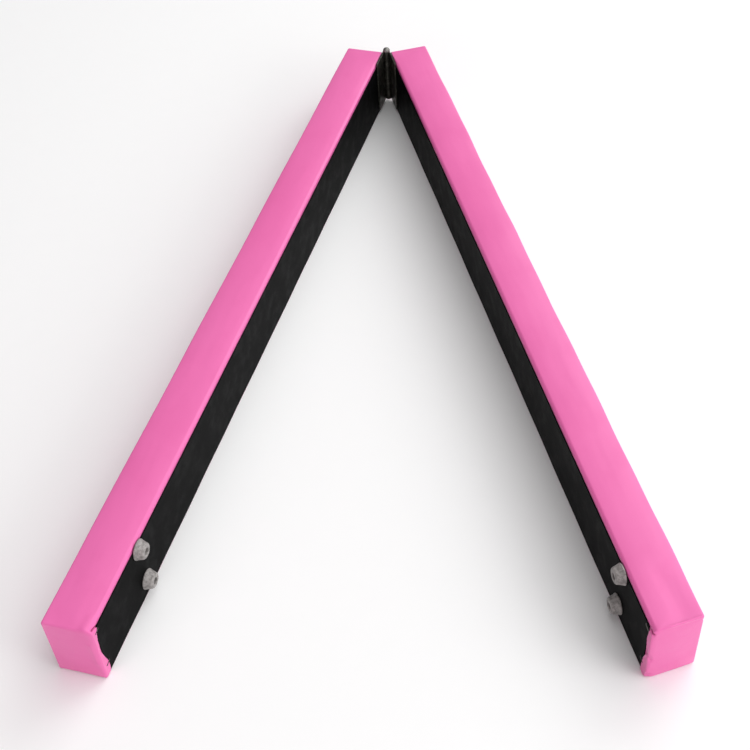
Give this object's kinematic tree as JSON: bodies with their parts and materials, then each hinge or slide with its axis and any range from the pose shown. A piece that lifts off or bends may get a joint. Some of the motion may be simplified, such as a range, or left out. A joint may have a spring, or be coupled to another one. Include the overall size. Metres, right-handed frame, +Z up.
{
  "type": "folding floor balance beam",
  "caption": "Padded floor balance beam in two hinged halves with a vinyl cover, a flat dark underside and small rubber feet, shown partly folded on its side.",
  "frame": {"origin": "on the floor, at the centre of the outline seen from above, with the beam lying on its long narrow side and folded to 30 degrees between the undersides", "axes": "+Z up along the hinge pin; +Y towards the hinge at the closed end of the V; +X towards the right half, seen from the open end"},
  "size_m": [0.753, 1.1735, 0.1073],
  "materials": {
    "vinyl": "satin",
    "sheet": "matte",
    "wood": "matte",
    "foam": "matte",
    "foot": "satin",
    "leaf": "satin",
    "pin": "satin",
    "zinc": "satin"
  },
  "bodies": {
    "left_half": {"left_base_sheet": "sheet", "left_cover": "vinyl", "left_far_end_foam": "foam", "left_hinge_end_foam": "foam", "left_hinge_leaf": "leaf", "left_leaf_screw_1": "leaf", "left_leaf_screw_2": "leaf", "left_leaf_screw_3": "leaf", "left_leaf_screw_4": "leaf", "left_lower_foot": "foot", "left_lower_foot_screw": "zinc", "left_lower_foot_washer": "zinc", "left_lower_side_foam": "foam", "left_lower_staple": "zinc", "left_top_foam": "foam", "left_upper_foot": "foot", "left_upper_foot_screw": "zinc", "left_upper_foot_washer": "zinc", "left_upper_side_foam": "foam", "left_upper_staple": "zinc", "left_wood_core": "wood", "hinge_pin": "pin"},
    "right_half": {"right_base_sheet": "sheet", "right_cover": "vinyl", "right_far_end_foam": "foam", "right_hinge_end_foam": "foam", "right_hinge_leaf": "leaf", "right_leaf_screw_1": "leaf", "right_leaf_screw_2": "leaf", "right_leaf_screw_3": "leaf", "right_leaf_screw_4": "leaf", "right_lower_foot": "foot", "right_lower_foot_screw": "zinc", "right_lower_foot_washer": "zinc", "right_lower_side_foam": "foam", "right_lower_staple": "zinc", "right_top_foam": "foam", "right_upper_foot": "foot", "right_upper_foot_screw": "zinc", "right_upper_foot_washer": "zinc", "right_upper_side_foam": "foam", "right_upper_staple": "zinc", "right_wood_core": "wood"}
  },
  "joints": [
    {"name": "fold_hinge", "type": "hinge", "parent": "left_half", "child": "right_half", "pos_m": [0, 0.57102, 0.0535], "axis": [0, 0, 1], "range_deg": [-30, 150]}
  ]
}
